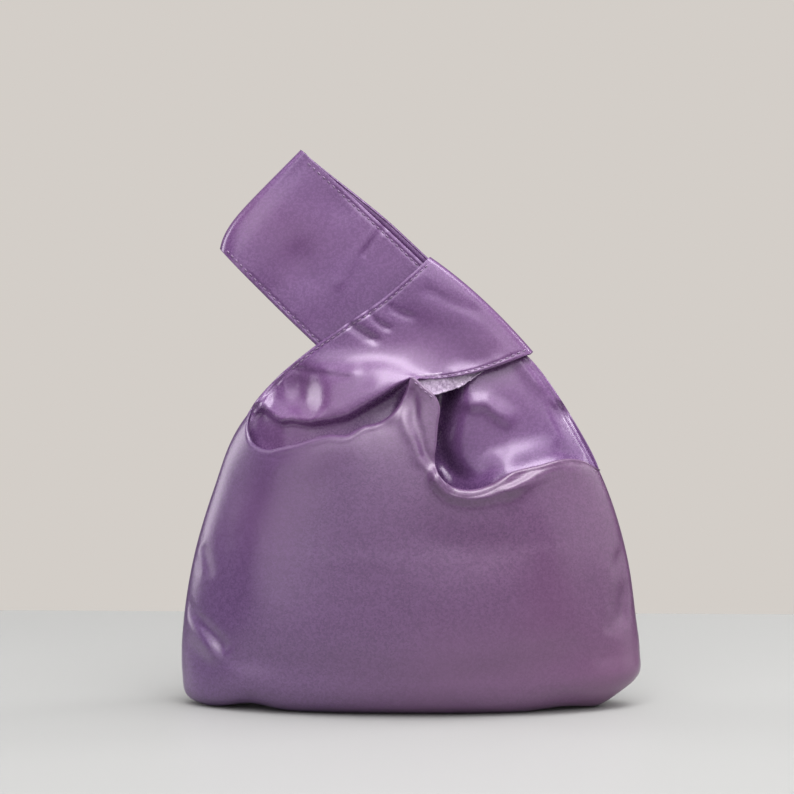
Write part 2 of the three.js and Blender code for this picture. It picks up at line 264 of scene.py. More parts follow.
FRONT_FOLDS = [
    ("ridge under the valley", 9, 1.5,
     (-84, 124), (-74, 119), (-66, 117), (-50, 121), (-32, 126), (-16, 129)),
    ("top of the cheek leans back", 12, -4, (-34, 142), (-20, 144), (-8, 148), (2, 152), (14, 154)),
    ("crest at the flap's foot", 3, 1.1,
     (-14, 137), (-8, 140.5), (-3.6, 140.5), (-1, 136.5), (2.2, 129.5), (5, 121.6), (9.4, 117),
     (14, 112.5), (20, 107)),
    ("groove beside the crest", 2.4, -1.2,
     (1.6, 156), (2.4, 146), (3.2, 138), (4.8, 130.5), (7.2, 124.4), (11, 118.8), (15, 115)),
    ("lip", 4, 2.4,
     (8, 119), (13, 113), (19.4, 107.4), (26, 105.5), (34, 106), (42, 109.6), (48, 113.4), (58, 117)),
    ("groove under the lip", 1.8, -1.2,
     (12, 114), (20, 106.6), (28.6, 105.2), (38, 106.6), (48, 110.6), (58, 114.6)),
    ("second ridge, left", 3, 1.8,
     (9, 116), (12.8, 112), (20.3, 104.4), (28.6, 102.2), (38, 103.4), (48, 107.4), (56, 111)),
    ("second ridge, right", 4.5, 3.2,
     (38, 104), (48, 107.6), (56.5, 111.4), (63.5, 115), (68.5, 117), (74, 117.6), (80, 115.6),
     (88, 110)),
    ("rim at the right leans back", 5, -4.5,
     (42, 114), (54, 118), (62, 120), (70, 121.4), (78, 121), (88, 117)),
    ("dent under the lip", 12, -2, (-6, 98), (12, 84), (28, 78), (48, 80), (64, 92)),
    ("soft dent, left of the middle", 24, -1.8, (-70, 120), (-58, 90), (-46, 66), (-36, 36)),
    ("hollow by the left seam", 10, -3, (-76, 128), (-84, 112), (-90, 92), (-92, 64), (-92, 36)),
    ("corner crease", 2.6, -6.5, (-116, 57), (-108, 48.4), (-100, 40.6), (-92, 33.4), (-86, 28)),
    ("welt under the corner crease", 5, 7, (-118, 52), (-110, 43.4), (-103, 36.6), (-96, 30), (-88, 23)),
    ("pucker at the right seam", 3, -9, (100, 80), (102.4, 66), (103, 54), (101, 38)),
    ("hollow by the right seam", 9, -0.8, (74, 122), (82, 104), (90, 84), (94, 64), (94, 44)),
    ("slack above the base", 9, -1.6, (-90, 30), (-60, 22), (10, 16), (60, 24), (90, 34)),
    ("sag at the lower right", 13, -2.4, (16, 14), (40, 12), (66, 14), (88, 20), (104, 30)),
]
print(len(UPPER_EDGE["x"]), "points along the upper edge,", len(FRONT_FOLDS), "folds")

# %% [markdown]
# `create_grid` gives a flat sheet of quads with a UV map. A shape function then moves every grid point
# to its place in space, and `smooth_vert` irons out small kinks. The cloth's own measure is written
# into the UV map, in metres, so that the satin's highlight later runs with the threads.

# %% Helper for a shaped sheet of cloth
def flat_grid(across, along):
    """A flat grid of quads, each vertex's (u, v) from 0 to 1, and the order that sorts them by row."""
    bm = bmesh.new()
    bm.loops.layers.uv.new("UVMap")
    bmesh.ops.create_grid(bm, x_segments=across, y_segments=along, size=0.5, calc_uvs=True)
    bm.verts.ensure_lookup_table()
    uv = np.array([(v.co.x + 0.5, v.co.y + 0.5) for v in bm.verts])
    return bm, uv, np.lexsort((uv[:, 0], uv[:, 1]))


def cloth_measure(points, order, across, along):
    """Each vertex's place on the cloth, from the middle column and the first row, and the cloth's size."""
    grid = points[order].reshape(along + 1, across + 1, 3)
    measure = np.zeros((along + 1, across + 1, 2))
    measure[:, 1:, 0] = np.cumsum(np.linalg.norm(np.diff(grid, axis=1), axis=2), axis=1)
    measure[1:, :, 1] = np.cumsum(np.linalg.norm(np.diff(grid, axis=0), axis=2), axis=0)
    width, length = measure[:, -1, 0].max(), measure[-1, across // 2, 1]
    measure[:, :, 0] -= measure[:, [across // 2], 0]
    cloth_uv = np.zeros((len(order), 2))
    cloth_uv[order] = measure.reshape(-1, 2)
    return cloth_uv, width, length


def as_piece(name, bm):
    """A new object that holds a finished bmesh."""
    mesh = bpy.data.meshes.new(name)
    bm.to_mesh(mesh)
    bm.free()
    piece = bpy.data.objects.new(name, mesh)
    bpy.context.collection.objects.link(piece)
    return piece


IRONING = 2  # times that each sheet is smoothed


def cloth_sheet(name, across, along, shape):
    """A grid of across by along steps. shape(u, v), both from 0 to 1, gives points in millimetres."""
    bm, uv, order = flat_grid(across, along)
    for vert, point in zip(bm.verts, np.column_stack(shape(uv[:, 0], uv[:, 1])) * MM):
        vert.co = point
    inner = [vert for vert in bm.verts if not vert.is_boundary]
    axes = {"use_axis_x": True, "use_axis_y": True, "use_axis_z": True}
    for _ in range(IRONING):
        bmesh.ops.smooth_vert(bm, verts=inner, factor=0.5, **axes)
    points = np.array([vert.co for vert in bm.verts])
    cloth_uv, width, length = cloth_measure(points, order, across, along)
    layer = bm.loops.layers.uv["UVMap"]
    for face in bm.faces:
        face.smooth = True
        for loop in face.loops:
            loop[layer].uv = cloth_uv[loop.vert.index]
    print(name, "sheet,", len(points), "points,", round(width / MM), "by", round(length / MM), "mm")
    return as_piece(name, bm)


print("cloth sheets can be made, ironed", IRONING, "times")

# %% Shape the front panel
PANEL_ACROSS = 240
PANEL_UP = 160
WALL_SHARE = 0.58  # of the rows, up to the level
ROLL_SHARE = 0.92  # of the rows, up to where the edge begins to roll in
ROLL_TURN = np.radians(160)
EDGE_STEP = 2.5  # mm along the upper edge, to find which way it runs
EDGE_ROOM = 0.8  # mm of extra columns for each row of the edge's table
SLIVER = 0.2  # how much of its foot's place a column keeps beside a seam
CURLS = ((-76, 12, 3), (74, 14, 2))  # x, reach and height of the base's curls
CURL_END = 22


def corner_lift(x):
    """How far the base curls up off the floor beside its corners, where nothing weighs it down."""
    return sum(height * bell(x - at, reach) for at, reach, height in CURLS)


def panel_shape(edge, folds, side):
    """The shape of a panel: side is -1 for the front and 1 for the back."""
    steps = np.hypot(np.diff(edge["x"]), np.diff(edge["z"]))
    places = np.concatenate([[0], np.cumsum(steps + EDGE_ROOM)])
    along = {name: curve_through(places / places[-1], edge[name]) for name in edge}
    first, last = edge["foot"][[0, -1]]

    def shape(u, v):
        reach = EDGE_STEP / places[-1]
        ahead, behind = np.clip(u + reach, 0, 1), np.clip(u - reach, 0, 1)
        run_x = along["x"](ahead) - along["x"](behind)
        run_z = along["z"](ahead) - along["z"](behind)
        out_x, out_z = -run_z / np.hypot(run_x, run_z), run_x / np.hypot(run_x, run_z)
        roll = along["roll"](u)
        edge_x, edge_z = along["x"](u) - roll * out_x, along["z"](u) - roll * out_z

        foot_share = (along["foot"](u) - first) / (last - first)
        least, most = SLIVER * foot_share, 1 - SLIVER + SLIVER * foot_share
        edge_share = np.clip(across_pouch(edge_x, edge_z), least, most)
        edge_share = np.where(u <= 0, 0, np.where(u >= 1, 1, edge_share))
        lean = np.clip((v - WALL_SHARE) / (ROLL_SHARE - WALL_SHARE), 0, 1)
        share = foot_share * (1 - lean) + edge_share * lean
        wall_climb = climb_at(LEVEL) * np.clip(v / WALL_SHARE, 0, 1)
        height = LEVEL * (1 - lean) + edge_z * lean
        climb = np.where(v > WALL_SHARE, climb_at(height), wall_climb)
        x = pouch["left"](climb) * (1 - share) + pouch["right"](climb) * share
        z = np.where(v > WALL_SHARE, height, np.maximum(pouch["z"](climb), 0))
        depth = panel_depth(climb, share, x, z, folds)

        z = z + corner_lift(x) * (1 - smooth_step(z, 0, CURL_END))
        turn = ROLL_TURN * np.clip((v - ROLL_SHARE) / (1 - ROLL_SHARE), 0, 1)
        x = x + out_x * roll * np.sin(turn)
        z = z + out_z * roll * np.sin(turn)
        depth = np.maximum(depth - roll * (1 - np.cos(turn)), SEAM)
        return x, side * depth, z

    return shape


print("panels are grids of", PANEL_ACROSS, "by", PANEL_UP, "steps")

# %% [markdown]
# A formula is more even than cloth. So a coarse copy of the panel is held along its seams, its base and
# its upper edge, given a little more cloth than it has room for, and left to Blender's cloth solver
# under a light pressure from inside. How far each point settles, up to a cap, is then added to the
# fine sheet. The coarse copy is thrown away, so no simulation is left in the scene.

# %% Let the front panel settle
COARSE_ACROSS = 120
COARSE_UP = 80
SETTLE_FRAMES = 20
SETTLE_CAP = 2  # mm
ALMOST_ONE = 1 - 1e-9
SPARE = 0.002  # how much larger the cloth is cut than its room
HELD_TOP = (0.46, 0.62)  # shares of the way up between which the hold on the upper edge comes in
HELD_BASE = (3, 8)  # mm above the floor
HELD_SEAM = (0, 0.02)  # shares of the way across, from either seam
CLOTH = {
    "vertex_group_mass": "held",
    "mass": 0.01,
    "tension_stiffness": 12,
    "compression_stiffness": 12,
    "shear_stiffness": 4,
    "bending_stiffness": 3,
    "shrink_min": -SPARE,
    "use_pressure": True,
    "uniform_pressure_force": 4,
}


def reverse_faces(piece):
    """Turns a sheet's faces to its other side."""
    bm = bmesh.new()
    bm.from_mesh(piece.data)
    bmesh.ops.reverse_faces(bm, faces=bm.faces)
    bm.to_mesh(piece.data)
    bm.free()


def hold(trial, uv, start):
    """A vertex group that holds a trial sheet along its upper edge, its base and its seams."""
    by_edge = smooth_step(uv[:, 1], *HELD_TOP)
    by_base = 1 - smooth_step(start[:, 2] / MM, *HELD_BASE)
    by_seam = 1 - smooth_step(np.minimum(uv[:, 0], 1 - uv[:, 0]), *HELD_SEAM)
    held = trial.vertex_groups.new(name="held")
    for i, weight in enumerate(np.maximum(np.maximum(by_edge, by_base), by_seam)):
        held.add([i], float(weight), "REPLACE")


def settled(shape, side):
    """The same shape, after its cloth has settled: side is -1 for the front and 1 for the back."""
    trial = cloth_sheet("trial", COARSE_ACROSS, COARSE_UP, shape)
    if side > 0:
        reverse_faces(trial)
    flat, uv, order = flat_grid(COARSE_ACROSS, COARSE_UP)
    flat.free()
    start = np.array([vert.co for vert in trial.data.vertices])
    hold(trial, uv, start)

    cloth = trial.modifiers.new("cloth", "CLOTH")
    for setting, value in CLOTH.items():
        setattr(cloth.settings, setting, value)
    cloth.settings.effector_weights.gravity = 0
    cloth.collision_settings.use_collision = False
    for frame_number in range(1, SETTLE_FRAMES + 1):
        bpy.context.scene.frame_set(frame_number)
    result = trial.evaluated_get(bpy.context.evaluated_depsgraph_get()).to_mesh()
    moved = (np.array([vert.co for vert in result.vertices]) - start) / MM
    far = np.linalg.norm(moved, axis=1, keepdims=True)
    print("cloth settles by up to", round(far.max(), 2), "mm, on average", round(far.mean(), 2), "mm")
    moved *= SETTLE_CAP * np.tanh(far / SETTLE_CAP) / np.maximum(far, 1e-6)
    grid = moved[order].reshape(COARSE_UP + 1, COARSE_ACROSS + 1, 3)
    bpy.data.objects.remove(trial)
    bpy.context.scene.frame_set(1)

    def shape_after(u, v):
        a = np.clip(u, 0, ALMOST_ONE) * COARSE_ACROSS
        b = np.clip(v, 0, ALMOST_ONE) * COARSE_UP
        i, j = b.astype(int), a.astype(int)
        s, t = (a - j)[:, None], (b - i)[:, None]
        below = grid[i, j] * (1 - s) + grid[i, j + 1] * s
        above = grid[i + 1, j] * (1 - s) + grid[i + 1, j + 1] * s
        return (np.column_stack(shape(u, v)) + below * (1 - t) + above * t).T

    return shape_after


front_shape = settled(panel_shape(UPPER_EDGE, FRONT_FOLDS, -1), -1)
front_panel = cloth_sheet("front_panel_cloth", PANEL_ACROSS, PANEL_UP, front_shape)

# %% [markdown]
# ## The back panel
#
# The back is cut to the same pattern. It isn't seen in the photo, so it gets the same rolled upper
# edge and a few broad, plain folds. Its sheet is mirrored in the seam plane, which turns its faces
# round, so they are reversed.

# %% Shape the back panel
BACK_FOLDS = [
    ("ridge under the valley", 7, 2,
     (-84, 125), (-74, 121), (-66, 119.5), (-50, 123.5), (-24, 130), (-6, 138), (4, 146)),
    ("crown of the flap", 10, 3, (0, 172), (2, 156), (7, 142), (8, 124), (10, 104)),
    ("lip", 7, 2, (6, 122), (13, 113), (19.4, 107.4), (34, 106), (48, 113.4), (62, 118)),
    ("slack across the back", 16, -2.6, (-76, 96), (-54, 86), (-8, 72), (40, 60), (66, 50)),
    ("dent under the lip", 14, -2, (6, 110), (12, 94), (18, 84), (26, 66)),
    ("slack above the base", 9, -1.6, (-90, 26), (-60, 20), (10, 16), (60, 22), (90, 30)),
]
back_shape = settled(panel_shape(UPPER_EDGE, BACK_FOLDS, 1), 1)
back_panel = cloth_sheet("back_panel_cloth", PANEL_ACROSS, PANEL_UP, back_shape)
reverse_faces(back_panel)

# %% [markdown]
# ## The short loop
#
# The short loop is a wide band that comes off the left shoulder, wraps the long loop and folds round
# at the right. Its sections run from the fold to the valley behind the front panel's upper edge. Each
# has its outer hem, its mouth hem, a sag in the middle and three depths. Above the valley the cloth
# bulges, ends in a rim along a brow and then turns under, leaning back to the floor of the valley.
# Hems are bagged out and stitched about 2 mm in, so the cloth dips a little along the stitch line.

# %% Sections of the short loop
SHORT_LOOP = table(
    "top_x top_z low_x low_z sag top mid low",
    ("fold", 9.3, 216, 58.6, 170.6, -3, 0, 0, 0),
    ("turn", 8.2, 215, 57.4, 170.1, -3, 8.6, 8.6, 8.6),
    ("grip", 3.2, 210.4, 52.6, 168.2, -2.5, 11, 11.2, 11.4),
    ("knot", -14, 195.5, 33, 161.5, 0, 12.4, 12.8, 12.8),
    ("wrap", -33, 182.3, 15, 158.3, 0, 14, 15.6, 16.6),
    ("shoulder", -51, 169.4, 4, 158.4, 1, 9, 19.6, 22),
    ("brow", -64, 158.5, 2.6, 157, 4, 6, 22.6, 24),
    ("under the brow", -75.8, 145.2, 3.4, 151, 9, 3, 23, 24),
    ("valley", -85, 126, 4, 136, 13, 1, 22, 22),
)
SHORT_FOLDS = [
    ("dent by the outer hem", 5, -4.2, (-66, 165), (-66, 156), (-65, 147), (-63.4, 136)),
    ("dent in the shoulder", 8.5, -7, (-53, 168), (-53, 157), (-52.4, 147), (-51, 134)),
    ("slack under the upper hem", 12, -1.7, (-44, 168), (-14, 175), (6, 178), (30, 190)),
    ("pleat, sharp end", 1.5, 0.5, (-51, 163), (-46, 162.6), (-41, 162.2), (-36, 161.8)),
    ("pleat, opening", 2.6, 0.8, (-45, 162.4), (-38, 161.8), (-30, 161.4), (-22, 161.4)),
    ("pleat, open", 4.8, 1.2, (-38, 161.4), (-26, 161), (-14, 161.4), (0, 162.6), (6, 163.4)),
    ("tuck under the pleat", 1.3, -0.9,
     (-62, 164), (-54, 162), (-46, 160.6), (-36, 159.8), (-26, 159.8)),
    ("dent near the fold", 3.6, -1.1, (2, 203), (12, 198.4), (20, 195), (28, 191.4), (38, 188)),
    ("flare of the lower hem", 4, 2.2, (14, 157), (24, 160), (32, 161.6), (42, 165), (50, 168)),
    ("pucker under the upper hem", 2.2, -1.9, (-32, 187), (-25, 181.4), (-20.6, 178), (-14, 175)),
    ("second pucker", 1.5, -1.3, (-22, 193), (-17, 186.6), (-13.4, 183.4), (-8, 180.4)),
    ("third pucker", 1.8, -0.9, (-12, 195), (-8, 190.4), (-3.4, 188), (4, 186)),
    ("rim of the brow", 2.2, 2,
     (-84, 149), (-76, 145.4), (-70.5, 146), (-66.6, 143.4), (-61.4, 139.8), (-56, 140.6), (-47, 139.4),
     (-38, 141)),
    ("brow", 6, 1.6,
     (-80, 152), (-70, 146), (-61, 140.5), (-46, 140.5), (-30, 143.5), (-14, 152), (-4, 158)),
]
BROW = (
    (-80, 140), (-73.4, 142), (-70.7, 142.7), (-67.4, 140.4), (-61.5, 136.6), (-56, 137.6), (-47, 136.5),
    (-38.3, 137.9), (-29.7, 139.8), (-13.8, 149.1), (0.7, 158.6), (2.5, 156), (6, 130),
)
BROW_REACH = 1.6
UNDERCUT = 0.25  # how far the cloth under the brow leans back, for each step down
UNDERCUT_END = 14
UNDERCUT_SIDE = (0.86, 0.98)  # shares of the way across between which it stops
print(len(SHORT_LOOP["sag"]), "sections,", len(SHORT_FOLDS), "folds,", len(BROW), "points along the brow")

# %% [markdown]
# Where a loop passes behind the panel's edge it has to stay behind it. `edge_height` says how high the
# edge stands at each x, and from a little above that line the loop's own depth is eased over to the
# panel's depth, less a clearance.

# %% The line along which the loops go behind the front panel
VALLEY_LINE = [
    (-85, 131), (-77.5, 131), (-75, 127.2), (-68, 124.4), (-52, 128.2), (-30, 132.4), (-14, 138.4),
    (-5, 146),
]
LIP_LINE = [
    (13, 116), (19, 109.4), (26, 107.4), (34, 108.1), (42, 111.8), (48, 115), (62, 118), (75, 120.2),
    (81, 119.2), (90, 115),
]


def edge_height(x):
    """How high the front panel's upper edge stands at each x."""
    line = np.array(VALLEY_LINE + LIP_LINE)
    return np.interp(x, line[:, 0], line[:, 1])


print("the loops go behind the front panel at up to", max(z for _, z in VALLEY_LINE + LIP_LINE), "mm")

# %% [markdown]
# A strip could be bent into a loop by hand, but a formula keeps its two layers and its hems in step.
# Each section is a line between the hems, bowed by its three depths. The folds, the tuck behind the
# panel and the relief along the hems are then added in turn.

# %% The relief along a loop's hems
HEM_IN = 2.3  # from a hem to its stitch line
STITCH_DIP, STITCH_DIP_REACH = 0.45, 0.8
EDGE_DROP, EDGE_DROP_REACH = 0.5, 0.7
GATHER, GATHER_SIZE, GATHER_REACH = 0.3, 3.2, 5
SLACK, SLACK_SIZE = 0.35, 16


def hem_relief(x, z, place, share, width, seed):
    """The dips along both stitch lines and hems, the gathers beside them and some slack all over."""
    from_hem = np.minimum(share, 1 - share) * width
    groove = STITCH_DIP * bell(from_hem - HEM_IN, STITCH_DIP_REACH)
    groove = groove + EDGE_DROP * bell(from_hem, EDGE_DROP_REACH)
    gather = GATHER * ripple(place, share, GATHER_SIZE, seed) * bell(from_hem, GATHER_REACH)
    slack = SLACK * ripple(x, z, SLACK_SIZE, seed + 5)
    return gather + slack - groove


print("stitch lines run", HEM_IN, "mm inside the hems")

# %% The surface of a loop
SEAM_END = 148  # where the side seams end, and a loop's two layers part
SEAM_REACH = 8
SEAM_EASE = 0.6  # how much of its clearance a loop gives up beside a seam
CLOSED_BY = 4  # mm from a seam over which the two layers part
LEAST_DEPTH = 0.3
LEAST_BEHIND = 0.4
BACK_FOLDS_SHARE = 0.4  # a loop's back has the same folds, but weaker
# shares of the way from a loop's fold to its base
OFF_FOLD = (0.06, 0.2)  # where folds and relief come in
BEHIND_FROM = (0.6, 0.7)  # where a loop may go behind the panels
LIFT_RISE, LIFT_FALL = (0.02, 0.3), (0.45, 0.6)  # where the back layer stands higher
END_REACH = (0, 0.2)  # where the fold's end bulges
LIFT_LEAN = 0.7
END_WAY = (-0.75, 0.65)


def loop_surface(rows, folds, seed, clear, hollow, side, slack_out, ease,
                 back_lift=0, end_bulge=0, brow=None):
    """A loop's surface, at a share of the way across and a run of -1 (front base) to 1 (back base)."""
    middle_x, middle_z = (rows["top_x"] + rows["low_x"]) / 2, (rows["top_z"] + rows["low_z"]) / 2
    middle = np.column_stack([middle_x, middle_z, rows["mid"]])
    places = np.concatenate([[0], np.cumsum(np.linalg.norm(np.diff(middle, axis=0), axis=1))])
    along = {name: curve_through(places / places[-1], rows[name]) for name in rows}
    into = curve_through(*np.transpose(hollow))

    def at(share, run):
        away = abs(run)
        here = {name: along[name](away) for name in along}
        back = run > 0
        lifted = smooth_step(away, *LIFT_RISE) * (1 - smooth_step(away, *LIFT_FALL))
        lift = LIFT_LEAN * back_lift * back * lifted
        top_x, top_z = here["top_x"] + lift, here["top_z"] + lift
        bow = 4 * share * (1 - share)
        bulge = end_bulge * share * (1 - share ** 6) * (1 - smooth_step(away, *END_REACH))
        x = top_x * (1 - share) + here["low_x"] * share + END_WAY[0] * bulge
        z = top_z * (1 - share) + here["low_z"] * share - here["sag"] * bow + END_WAY[1] * bulge
        depth = here["top"] * (1 - share) * (1 - 2 * share) + here["mid"] * bow
        depth = depth + here["low"] * share * (2 * share - 1)
        off_fold = smooth_step(away, *OFF_FOLD)
        depth = depth + np.where(back, BACK_FOLDS_SHARE, 1) * off_fold * fold_push(x, z, folds)

        panel = np.where(back, depth_at(x, z, BACK_FOLDS), depth_at(x, z, FRONT_FOLDS))
        by_seam = smooth_step(SEAM_END - z, 0, SEAM_REACH)
        beside = (1 - smooth_step(share, *side)) * by_seam
        behind = panel - clear * (1 - SEAM_EASE * beside) - into(share)
        below = smooth_step(edge_height(x) + ease - z, 0, ease)
        if brow:
            under_brow = np.interp(x, *np.transpose(brow)) - z
            below = np.maximum(below, smooth_step(under_brow, -BROW_REACH, BROW_REACH))
            inside = (1 - beside) * (1 - smooth_step(share, *UNDERCUT_SIDE))
            behind = behind - UNDERCUT * np.clip(under_brow, 0, UNDERCUT_END) * inside
        below = np.maximum(below, beside) * smooth_step(away, *BEHIND_FROM)
        depth = depth * (1 - below) + np.clip(behind, LEAST_BEHIND, depth + slack_out) * below

        width = np.hypot(top_x - here["low_x"], top_z - here["low_z"])
        closed = np.sqrt(1 - (1 - np.clip(share * width / CLOSED_BY, 0, 1)) ** 2)
        depth = depth * (1 - by_seam * (1 - closed))
        depth = depth + off_fold * hem_relief(x, z, run * places[-1], share, width, seed)
        return x, np.sign(run) * np.maximum(depth, LEAST_DEPTH * abs(np.sign(run))), z

    return at


print("a loop's relief comes in between", OFF_FOLD, "of the way from its fold to its base")

# %% Shape the short loop
HEM_COLUMNS = ([0, 0.2, 0.8, 1], [0, 0.08, 0.92, 1])  # the grid's shares, and where they lie
CLEARANCE = 1.3  # between a loop and the panel that hides it


def loop_grid(surface):
    """The same surface for cloth_sheet, with the columns closer along both hems."""
    return lambda u, v: surface(np.interp(u, *HEM_COLUMNS), 2 * v - 1)


LOOP_ACROSS = 84
SHORT_ALONG = 260
SHORT_HOLLOW = (
    (0, 0), (0.03, 2), (0.07, 3.8), (0.12, 4.2), (0.5, 5), (0.8, 6.3), (0.88, 6.2), (0.94, 3), (1, 0.4),
)
short_surface = loop_surface(
    SHORT_LOOP, SHORT_FOLDS, seed=2.0, clear=CLEARANCE, hollow=SHORT_HOLLOW, side=(0.02, 0.05),
    slack_out=3, ease=9, brow=BROW,
)
short_loop = cloth_sheet("short_loop_cloth", LOOP_ACROSS, SHORT_ALONG, loop_grid(short_surface))

# %% [markdown]
# ## The long loop
#
# The wrist loop is one band too: from its base in the hollow, up under the short loop, to the folded
# end at the upper left, and down again behind. The back layer stands a little higher than the front
# one, as straps that were pulled through by hand do, so its hem shows along the upper edge.

# %% Shape the long loop
LONG_LOOP = table(
    "top_x top_z low_x low_z sag top mid low",
    ("fold", -53, 267.3, -92, 220, 0, 0, 0, 0),
    ("turn", -51.8, 266.2, -90.7, 218.8, 0, 4.4, 4.4, 4.4),
    ("bend", -48, 262.8, -87, 215.2, 0, 5, 6.8, 8),
    ("loop", -22, 239, -67.3, 195.2, 0, 4.6, 7.6, 9.2),
    ("knot", 5.8, 213, -45.4, 174, 0, 5.6, 6.9, 8),
    ("wrapped", 34.6, 185, -16, 147, 0, 5.5, 6.9, 7.4),
    ("right side", 61, 163, 1, 129, 0, 6, 13.6, 8),
    ("slope", 79.6, 135.2, 2, 117, 2, 9, 16, 10),
    ("seam end", 89.3, 117, 3, 106, 3.6, 8, 18.6, 11),
    ("base", 92.2, 108, 4, 97, 5, 8, 20.6, 13),
)
LONG_FOLDS = [
    ("edge of the side facet", 3.4, 1.6, (47, 172), (52, 166), (60, 156), (64, 149)),
    ("pleat over the hollow", 4, 2.4,
     (20, 150), (29, 146.8), (36, 147.5), (40, 143.6), (46, 139.6), (52, 136)),
    ("pleat above the lip", 4, 1.6, (32, 123.5), (40, 120), (48, 115.8), (56, 113)),
    ("crevice behind the flap", 7, -11,
     (16, 170), (15, 153), (15, 143), (12, 132), (12, 116), (14, 100), (16, 82)),
    ("crease across the strap", 1.3, -1.1, (-11, 231.5), (-14, 228), (-21.5, 219), (-24.5, 215.4)),
    ("cloth beside the crease", 2.6, 0.7, (-13, 231), (-17, 227), (-25, 218), (-33, 206), (-38, 199)),
    ("soft dent by the upper hem", 9, -1.2, (-60, 252), (-44, 246), (-34, 240), (-20, 232)),
    ("soft dent by the lower hem", 9, -1.2, (-68, 220), (-54, 214), (-48, 208), (-36, 198)),
]
LONG_ALONG = 330
LONG_HOLLOW = ((0, 0), (0.32, 0), (0.46, 4), (0.64, 14), (0.78, 25), (1, 34))
long_surface = loop_surface(
    LONG_LOOP, LONG_FOLDS, seed=7.0, clear=CLEARANCE, hollow=LONG_HOLLOW, side=(0.07, 0.16),
    slack_out=6, ease=15, back_lift=3.4, end_bulge=6,
)
long_loop = cloth_sheet("long_loop_cloth", LOOP_ACROSS, LONG_ALONG, loop_grid(long_surface))
reverse_faces(long_loop)

# %% [markdown]
# ## The mouth facing
#
# Beside the notch the mouth hem turns a little outward and shows its facing: a narrow strip of the
# same satin, wrong side out, crinkled where the hem is pulled. It hangs behind the short loop's hem.

# %% Shape the mouth facing
FACING = table(
    "x top low depth",
    ("at the notch", 1, 160, 157.6, 20.5),
    ("by the mouth hem", 6, 160.4, 153.4, 18.6),
    ("lowest", 11.4, 160.8, 150.8, 16.6),
    ("under the hem", 17.5, 161.4, 152.2, 14.6),
    ("narrowing", 25, 162.4, 155, 12.6),
    ("last seen", 35, 163.6, 162.4, 10.4),
)
FACING_ACROSS = 90
FACING_UP = 24
CRINKLE, CRINKLE_SIZE = 1.3, 2.6
FINE_CRINKLE, FINE_CRINKLE_SIZE = 0.4, 1.5
FLARE = 1.4  # how far its free edge stands out


def facing_shape(u, v):
    """The facing, from its free edge at v = 0 up to the hem."""
    steps = np.linspace(0, 1, len(FACING["x"]))
    here = {name: curve_through(steps, FACING[name])(u) for name in FACING}
    x = here["x"]
    z = here["low"] * (1 - v) + here["top"] * v
    crinkle = CRINKLE * ripple(x + 0.6 * z, 0.35 * z, CRINKLE_SIZE, 11.0)
    crinkle = crinkle + FINE_CRINKLE * ripple(x, z, FINE_CRINKLE_SIZE, 3.0)
    return x, -(here["depth"] + FLARE * (1 - v) ** 2 + crinkle * (1 - v)), z


mouth_facing = cloth_sheet("mouth_facing_cloth", FACING_ACROSS, FACING_UP, facing_shape)

# %% [markdown]
# ## Stitches
#
# The hems are topstitched. A bump in the satin could hint at that, but each stitch is a short raised
# dash of thread that catches the light, so it is a small icosphere, drawn out along the stitch line
# and half sunk in the cloth. The lines are taken from the same surfaces as the loops, so they lie in
# the dip that was made for them.

# %% Helper for a row of stitches
STITCH_PITCH = 3.2
STITCH_LONG = 2.2
STITCH_THICK = 0.65
STITCH_AIM = 0.9  # mm to each side, to find which way a stitch lies
ICO_FACES = 20


def sew(bm, line):
    """Lays a row of stitches along a line of closely spaced points, in millimetres."""
    lengths = np.concatenate([[0], np.cumsum(np.linalg.norm(np.diff(line, axis=0), axis=1))])
    for place in np.arange(STITCH_PITCH, lengths[-1] - STITCH_PITCH, STITCH_PITCH):
        start, stop = (
            Vector([np.interp(place + half, lengths, line[:, i]) for i in range(3)])
            for half in (-STITCH_AIM, STITCH_AIM)
        )
        turn = (stop - start).to_track_quat("X", "Z").to_matrix().to_4x4()
        size = Matrix.Diagonal((STITCH_LONG / 2, STITCH_THICK / 2, STITCH_THICK / 2, 1))
        put = Matrix.Scale(MM, 4) @ Matrix.Translation((start + stop) / 2) @ turn @ size
        bmesh.ops.create_icosphere(bm, subdivisions=1, radius=1, matrix=put)


def stitch_piece(name, lines):
    """All the stitches of one piece of cloth."""
    bm = bmesh.new()
    for line in lines:
        sew(bm, line)
    for face in bm.faces:
        face.smooth = True
    print(name, len(bm.faces) // ICO_FACES, "stitches")
    return as_piece(name, bm)


print("stitches are", STITCH_LONG, "mm long, and one comes every", STITCH_PITCH, "mm")

# %% Stitch the loops' hems
LOOP_WIDTH = 62  # mm, about, from hem to hem
LINE_POINTS = 400
STITCH_RISE = 0.25
LONG_RUNS = [(low_hem, *run) for low_hem in (False, True) for run in ((-0.55, -0.03), (0.03, 0.55))]
SHORT_RUNS = [(False, -0.72, -0.06), (False, 0.06, 0.72), (True, -0.62, -0.06), (True, 0.06, 0.62)]


def hem_line(surface, low_hem, start, stop):
    """A line HEM_IN inside a hem, from one run to another."""
    run = np.linspace(start, stop, LINE_POINTS)
    share = np.full(LINE_POINTS, 1 - HEM_IN / LOOP_WIDTH if low_hem else HEM_IN / LOOP_WIDTH)
    x, y, z = surface(share, run)
    return np.column_stack([x, y + STITCH_RISE * np.sign(run), z])


long_lines = [hem_line(long_surface, *run) for run in LONG_RUNS]
short_lines = [hem_line(short_surface, *run) for run in SHORT_RUNS]
long_stitches = stitch_piece("long_loop_stitches", long_lines)
short_stitches = stitch_piece("short_loop_stitches", short_lines)

# %% Stitch the mouth hem
MOUTH_RISE = 0.3
STEP_POINTS = 40


